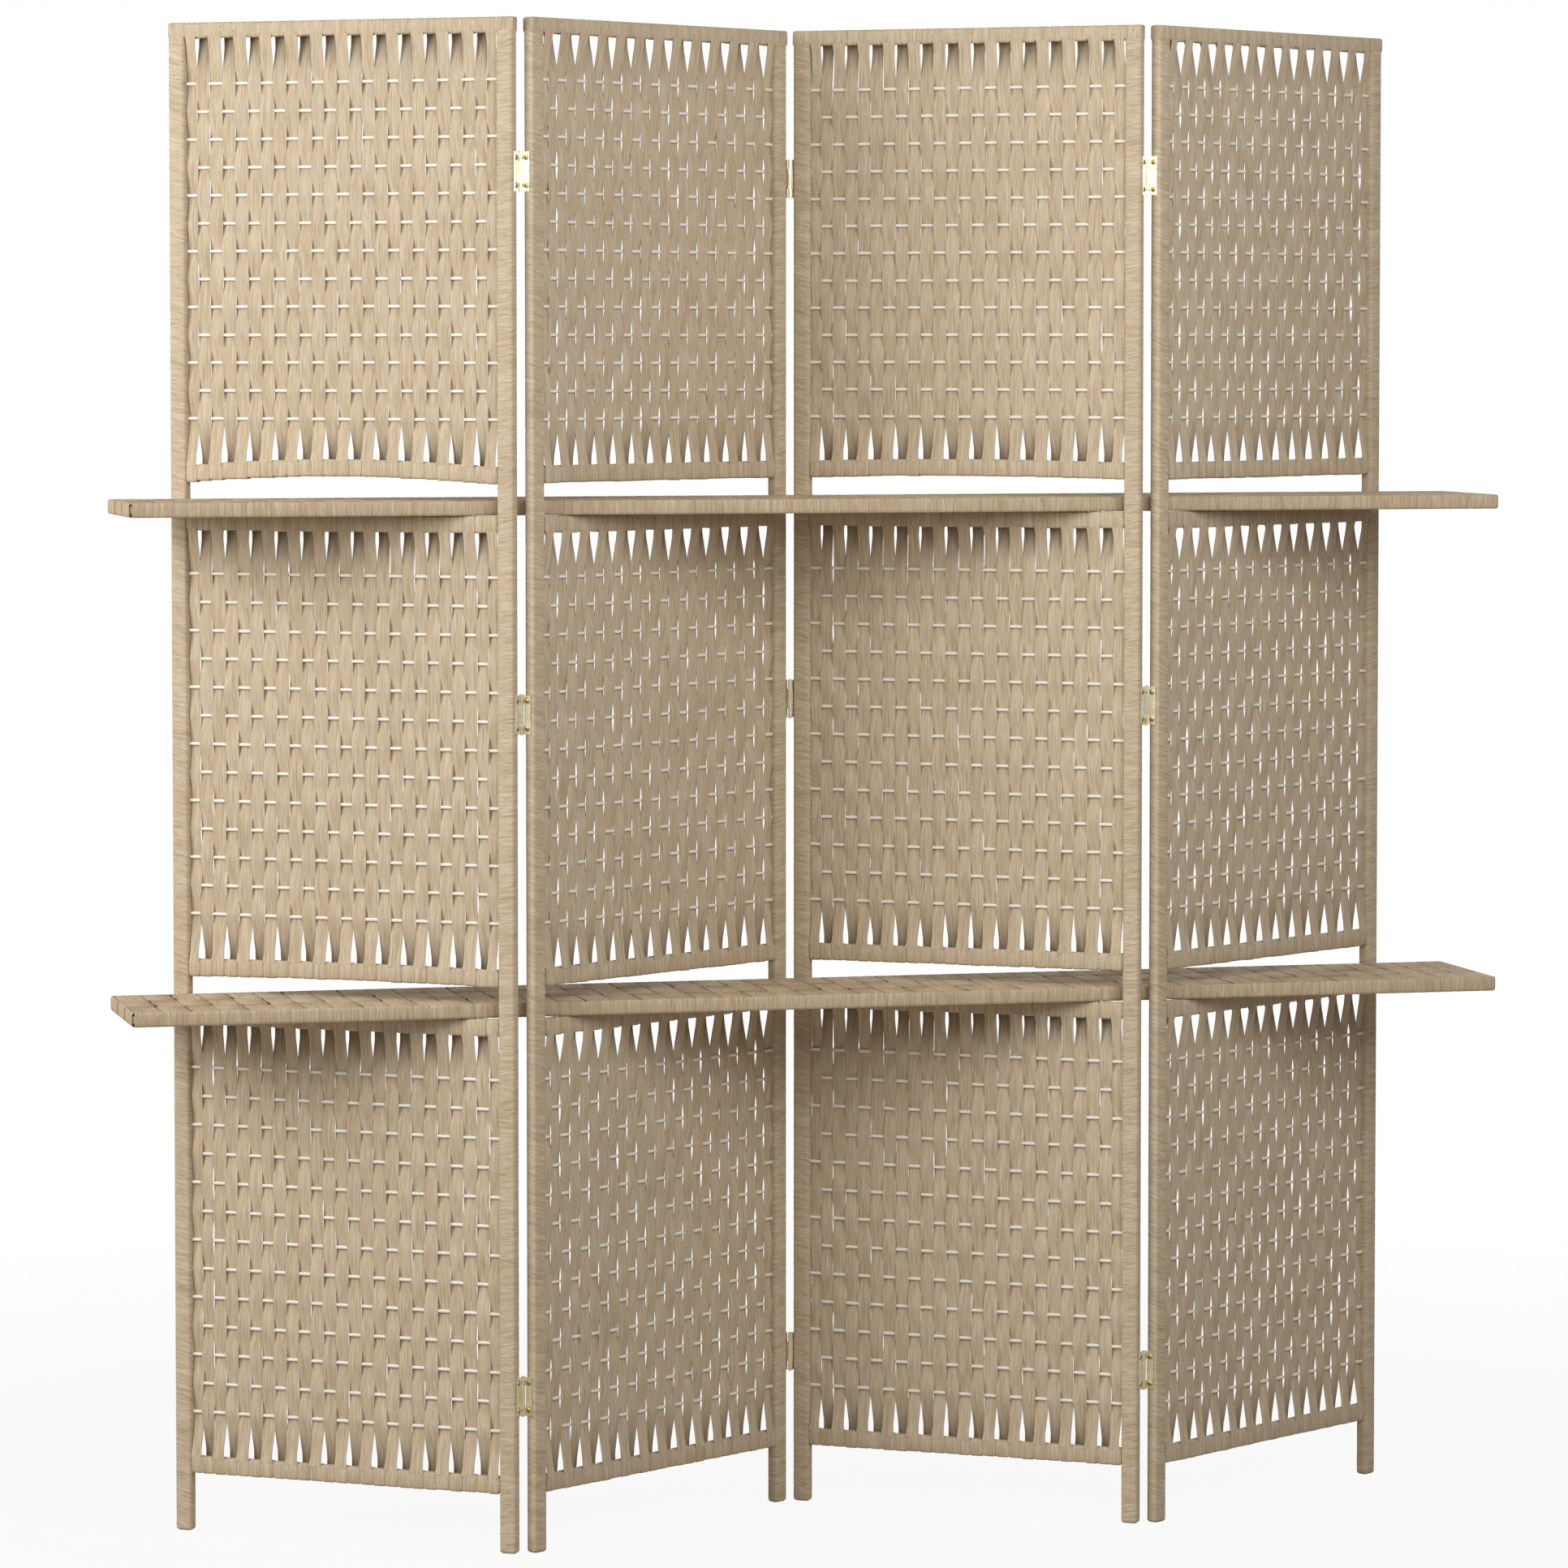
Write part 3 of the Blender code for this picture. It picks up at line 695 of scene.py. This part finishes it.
def add_strand(bands, middle, half, free_side, sizes, over, lengthwise):
    """One closed strand round the board. Its edge on the free side gives at each passing.

    sizes: half the board's length or depth, half the woven stretch, and its count of cells.
    """
    half_reach, half_cells, cell_count = sizes
    reach, rise, slack = woven_face(half_reach, half_cells, cell_count, over)
    under_reach, sink, under_slack = woven_face(
        half_reach, half_cells, cell_count, lambda number: not over(number),
    )
    edge = half_reach - STRAND_THICKNESS / 2
    corner = (SHELF_CORNER - STRAND_THICKNESS / 2) * BEND_SHARE
    bend_out, bend_up = edge - corner, HIGH_LEVEL - corner
    side_up = HIGH_LEVEL * SIDE_RING_SHARE
    turn = np.array((
        (bend_out, bend_up), (edge, side_up), (edge, 0.0), (edge, -side_up), (bend_out, -bend_up),
    ))
    turn_out = np.array((
        (BEND_OUTWARD, BEND_OUTWARD), (1, 0), (1, 0), (1, 0), (BEND_OUTWARD, -BEND_OUTWARD),
    ))
    face, under_face = np.stack((reach, rise), axis=1), np.stack((under_reach, -sink), axis=1)
    face_out = np.repeat(((0.0, 1.0),), len(face), axis=0)
    end_slack = np.full(len(turn), END_FACE_SLACK if lengthwise else 0.0)
    no_depth = np.zeros(len(turn))
    loop = round_board(face, turn, under_face, -turn)
    out = round_board(face_out, turn_out, -face_out, -turn_out)
    slack = round_board(slack, end_slack, under_slack, end_slack)
    depth = round_board(HIGH_LEVEL - rise, no_depth, HIGH_LEVEL - sink, no_depth)
    count = len(loop)
    # The free edge draws back by half a seam: half of that by moving, half by narrowing.
    give = abs(free_side) * slack * SEAM_WIDTH / 4
    wander = middle + soft_noise(count, every=5, size=STRAND_WANDER) - free_side * give
    wander[-1] = wander[0]
    halves = half + soft_noise(count, every=4, size=STRAND_WANDER / 2) - give
    halves[-1] = halves[0]
    line = np.stack((loop[:, 0], wander, loop[:, 1]), axis=1)
    outward = np.stack((out[:, 0], np.zeros(count), out[:, 1]), axis=1)
    across = np.repeat(((0.0, 1.0, 0.0),), count, axis=0)
    if not lengthwise:
        line, outward, across = (axes[:, (1, 0, 2)] for axes in (line, outward, across))
    # Painted shade: a strand is painted darker where it dives under others, and along its free
    # edge at the seams by its slack, for the shade in the crevices of the weave.
    dived = np.sqrt(depth / (HIGH_LEVEL - LOW_LEVEL))[:, None]
    free_edge = EDGE_OF_CORNER * free_side > 0
    painted_shade = np.maximum(dived, SEAM_PAINTED_SHADE * slack[:, None] * free_edge)
    bands.add_band(line, across, outward, halves, STRAND_THICKNESS, STRAND_CURL, painted_shade)


def add_shelf_board(bands):
    """The board inside a shelf: painted shade makes it dark under the weave, and it is papered
    over its two ends with only a little painted shade.
    """
    half_depth = SHELF_HALF_DEPTH - BOARD_INSET
    half_height = LOW_LEVEL - STRAND_THICKNESS
    outline = rounded_outline(half_depth, half_height, SHELF_CORNER, BOARD_CORNER_STEPS)
    reach = SHELF_HALF_LENGTH - BOARD_INSET
    papered = reach - BOARD_END
    covered = papered - BOARD_PAPER_EDGE
    stations = np.linspace(-covered, covered, BOARD_RINGS)
    stations = np.concatenate(((-reach, -papered), stations, (papered, reach)))
    painted_shade = np.where(np.abs(stations) < papered, BOARD_PAINTED_SHADE, BOARD_END_PAINTED_SHADE)
    add_bar(bands, stations, outline, girth_marks(outline), 0.0, painted_shade[:, None])


SHELF_PAPER = paper_band(
    "shelf_paper", SHELF_PAPER_LIGHT, SHELF_PAPER_DARK,
    relief=0.0008, creases=520.0, run=22.0, wander=0.0022,
)
cross_pitch = CROSS_HALF_LENGTH / PAIR_COUNT
cross_sizes = (SHELF_HALF_DEPTH, LONG_HALF_DEPTH, ROW_COUNT)
long_count = ROW_COUNT * STRANDS_IN_ROW
long_pitch = 2 * LONG_HALF_DEPTH / long_count
long_sizes = (SHELF_HALF_LENGTH, CROSS_HALF_LENGTH, PAIR_COUNT)
for shelf, shelf_bottom in SHELF_LEVELS:
    cross = Bands()
    for index in range(2 * PAIR_COUNT):
        pair, place = divmod(index, 2)
        middle = -CROSS_HALF_LENGTH + cross_pitch * (index + 0.5)
        add_strand(
            cross, middle, cross_pitch / 2 * STRAND_FILL, (-1, 1)[place], cross_sizes,
            over=lambda row: (row + pair) % 2 == 0, lengthwise=False,
        )
    long = Bands()
    for index in range(long_count):
        row, place = divmod(index, STRANDS_IN_ROW)
        middle = -LONG_HALF_DEPTH + long_pitch * (index + 0.5)
        add_strand(
            long, middle, long_pitch / 2 * STRAND_FILL, (-1, 0, 0, 1)[place], long_sizes,
            over=lambda pair: (row + pair) % 2 == 1, lengthwise=True,
        )
    core = Bands()
    add_shelf_board(core)
    pieces = (
        (cross, "cross_strands", ("front_batten", "back_batten")),
        (long, "long_strands", ("left_batten", "right_batten")),
        (core, "inner_board", ("deck",)),
    )
    for made, part, nodes in pieces:
        piece = made.build(f"{shelf}_{part}", SHELF_PAPER)
        piece.location = (0.0, 0.0, shelf_bottom + SHELF_THICKNESS / 2)
        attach(piece, shelf)
        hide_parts(*[f"{shelf}_{node}" for node in nodes])

# Hinges: nine small butt hinges of yellow-plated steel, three to a fold, with loose pins.
# Each leaf lies on the end face of a stile and is held by two cross-slotted screws.
HINGE_HEIGHTS = (("top", 1.6210), ("middle", 0.9878), ("bottom", 0.1850))
# Each fold's name, the panel on its left, and its pins' side: 1 behind, -1 in front.
FOLDS = (("left_fold", 1, 1), ("centre_fold", 2, -1), ("right_fold", 3, 1))
LEAF_FACE = PANEL_WIDTH / 2 + 0.0013
LEAF_MIDDLE = 0.0014
LEAF_EDGE_ROUND = 0.00025
LEAF_EDGE_STEPS = 2
SCREW_SPREAD = 0.01625
SCREW_SLOT_HALF = 0.00042
SCREW_SLOT_LENGTH = 0.0017
SCREW_SLOT_FLOOR = 0.00076
SCREW_SLOT_LIP = 1.08
SCREW_FACE = 0.00116
# Heights and radii up the side of a screw's head, from the face of the leaf.
SCREW_PROFILE = ((-0.0002, 0.00320), (0.00045, 0.00320), (0.00085, 0.00290), (0.00108, 0.00245))
SCREW_SHARP_ANGLE = 32.0
PLATE_YELLOW = (0.905, 0.815, 0.540)
PLATE_PALE = (0.950, 0.930, 0.840)
SCREW_YELLOW = (0.300, 0.220, 0.060)
SCREW_PALE = (0.520, 0.410, 0.160)
YELLOW_STOP = 0.35
PALE_STOP = 0.62
CLOUD_STRETCH = (180.0, 180.0, 90.0)
SCRATCH_STRETCH = (2500.0, 2500.0, 260.0)
SCRATCH_RELIEF = 0.00008
SCRATCH_ROUGHNESS = 0.22


def plated_steel(name, warm, pale, dullness):
    """Yellow plating: patches of warmer and paler colour, finely scratched and a bit dull."""
    made, sheet = blank_material(name)
    place = sheet.node("ShaderNodeTexCoord", {}, {}, "Object")
    clouds = stretched_noise(sheet, place, CLOUD_STRETCH, detail=3.0)
    scratches = stretched_noise(sheet, place, SCRATCH_STRETCH)
    stops = ((YELLOW_STOP, warm), (PALE_STOP, pale))
    colour = sheet.node("ShaderNodeValToRGB", {"stops": stops}, {"Fac": clouds})
    bump = sheet.node("ShaderNodeBump", {}, {"Height": scratches, "Distance": SCRATCH_RELIEF})
    finish_material(sheet, {
        "Base Color": colour,
        "Metallic": 1.0,
        "Roughness": dullness + scratches * SCRATCH_ROUGHNESS,
        "Normal": bump,
    })
    return made


def screw_head(name):
    """A raised head with a cross cut in its face; it looks along its own +Z."""
    half, reach = SCREW_SLOT_HALF, SCREW_SLOT_LENGTH
    arm = [(reach, -half), (reach, half), (half, half)]
    corners = []
    for quarter in range(4):
        corners.extend(arm)
        arm = [(-b, a) for a, b in arm]
    corners = np.array(corners)
    cut = np.empty((2 * len(corners), 2))
    cut[0::2] = corners
    cut[1::2] = (corners + np.roll(corners, -1, axis=0)) / 2
    angles = np.arctan2(cut[:, 1], cut[:, 0])
    circle = np.stack((np.cos(angles), np.sin(angles)), axis=1)
    rims = [(circle * radius, level) for level, radius in SCREW_PROFILE]
    rims += [(cut * SCREW_SLOT_LIP, SCREW_FACE), (cut, SCREW_SLOT_FLOOR)]
    rings = np.array([np.column_stack((rim, np.full(len(cut), level))) for rim, level in rims])
    marks = np.pad(np.concatenate((rings, rings[:, :1]), axis=1), ((0, 0), (0, 0), (0, 1)))
    head = Bands()
    head.add_rings(rings, marks)
    return head.build(name, PLATED_SCREW, SCREW_SHARP_ANGLE)


PLATED_STEEL = plated_steel("plated_leaf", PLATE_YELLOW, PLATE_PALE, dullness=0.16)
PLATED_SCREW = plated_steel("plated_screw", SCREW_YELLOW, SCREW_PALE, dullness=0.24)
for fold, left_panel, pin_side in FOLDS:
    for place, level in HINGE_HEIGHTS:
        for part in ("left_leaf", "right_leaf", "pin"):
            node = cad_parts[f"{fold}_{place}_{part}"]
            node.data.materials.clear()
            node.data.materials.append(PLATED_STEEL)
            rounding = node.modifiers.new("edge_round", "BEVEL")
            rounding.width = LEAF_EDGE_ROUND
            rounding.segments = LEAF_EDGE_STEPS
            rounding.limit_method = "ANGLE"
        for part, panel, sign in (("left", left_panel, 1), ("right", left_panel + 1, -1)):
            for end, rise in (("upper", SCREW_SPREAD), ("lower", -SCREW_SPREAD)):
                head = screw_head(f"{fold}_{place}_{part}_{end}_screw")
                spin = Matrix.Rotation(rng.uniform(0.0, math.pi / 2), 4, "Z")
                face = Matrix.Rotation(sign * math.pi / 2, 4, "Y")
                spot = Vector((sign * LEAF_FACE, pin_side * LEAF_MIDDLE, level + rise))
                place_on_panel(head, panel, Matrix.Translation(spot), face, spin)

# Room: a plain white floor and backdrop, with broad lamps on the left, in front and behind.
# It is not part of the object. The camera stands where the photograph was taken from.
WHITE = (1.0, 1.0, 1.0, 1.0)
FLOOR_HALF = 60.0
FLOOR_LEVEL = -0.0005
FLOOR_PAINT = (0.54, 0.50, 0.45, 1.0)
FLOOR_GLOW = 0.93
SHADOW_FADES_FROM = 1.2
SHADOW_FADES_TO = 2.6
SKY_LEVEL = 0.24
# Each lamp's name, place, the point it is turned to, width and power in watts.
LAMPS = (
    ("key_lamp", (-3.0, -0.9, 2.0), (0.0, 0.0, 1.4), 1.6, 64.5),
    ("fill_lamp", (0.5, -2.2, 2.2), (0.0, 0.0, 1.4), 1.6, 32.0),
    ("back_lamp", (1.6, 2.8, 2.2), (0.0, 0.0, 1.1), 1.8, 22.0),
)
CAMERA_PLACE = (-1.778, -7.021, 1.421)
CAMERA_DOWN = math.radians(2.99)
CAMERA_TURN = math.radians(-13.93)
CAMERA_LENS = 138.5
CAMERA_SENSOR = 36.0
CAMERA_SHIFT = -0.08
CAMERA_REACH = 200.0


def white_floor():
    """White to the camera but for the object's soft shadow, and plain pale paint to the light."""
    made, sheet = blank_material("white_floor")
    rays = sheet.node("ShaderNodeLightPath", {}, {}, "Is Camera Ray")
    place = sheet.node("ShaderNodeTexCoord", {}, {}, "Object")
    distance = sheet.node("ShaderNodeVectorMath", {"operation": "LENGTH"}, {0: place}, "Value")
    sockets = {"Value": distance, "From Min": SHADOW_FADES_FROM, "From Max": SHADOW_FADES_TO}
    far = sheet.node("ShaderNodeMapRange", {"clamp": True}, sockets)
    paint = sheet.node("ShaderNodeBsdfDiffuse", {}, {"Color": FLOOR_PAINT})
    glow = sheet.node("ShaderNodeEmission", {}, {"Color": WHITE})
    share = rays * (far * (1.0 - FLOOR_GLOW) + FLOOR_GLOW)
    mixed = sheet.node("ShaderNodeMixShader", {}, {0: share, 1: paint, 2: glow})
    sheet.node("ShaderNodeOutputMaterial", {}, {"Surface": mixed})
    return made


floor_mesh = bpy.data.meshes.new("floor")
floor_signs = ((-1, -1), (1, -1), (1, 1), (-1, 1))
floor_corners = [(x * FLOOR_HALF, y * FLOOR_HALF, FLOOR_LEVEL) for x, y in floor_signs]
floor_mesh.from_pydata(floor_corners, [], [(0, 1, 2, 3)])
floor_mesh.materials.append(white_floor())
floor = bpy.data.objects.new("floor", floor_mesh)
bpy.context.scene.collection.objects.link(floor)

for name, place, aim, width, power in LAMPS:
    light = bpy.data.lights.new(name, "AREA")
    light.shape = "SQUARE"
    light.size = width
    light.energy = power
    lamp = bpy.data.objects.new(name, light)
    lamp.location = place
    towards = Vector(aim) - Vector(place)
    lamp.rotation_euler = towards.to_track_quat("-Z", "Y").to_euler()
    bpy.context.scene.collection.objects.link(lamp)

world = bpy.data.worlds.new("white_room")
bpy.context.scene.world = world
world.use_nodes = True
world.node_tree.nodes.clear()
sky = Wire(world.node_tree)
seen = sky.node("ShaderNodeLightPath", {}, {}, "Is Camera Ray")
for ray in ("Is Glossy Ray", "Is Transmission Ray"):
    seen = seen.maths("MAXIMUM", seen, sky.node("ShaderNodeLightPath", {}, {}, ray))
strength = seen * (1.0 - SKY_LEVEL) + SKY_LEVEL
backdrop = sky.node("ShaderNodeBackground", {}, {"Color": WHITE, "Strength": strength})
sky.node("ShaderNodeOutputWorld", {}, {"Surface": backdrop})

lens = bpy.data.cameras.new("camera")
lens.sensor_width = CAMERA_SENSOR
lens.lens = CAMERA_LENS
lens.shift_y = CAMERA_SHIFT
lens.clip_end = CAMERA_REACH
camera = bpy.data.objects.new("camera", lens)
camera.location = CAMERA_PLACE
camera.rotation_euler = (math.radians(90) - CAMERA_DOWN, 0.0, CAMERA_TURN)
bpy.context.scene.collection.objects.link(camera)
bpy.context.scene.camera = camera
bpy.context.scene.view_settings.view_transform = "Standard"

bpy.context.view_layer.update()
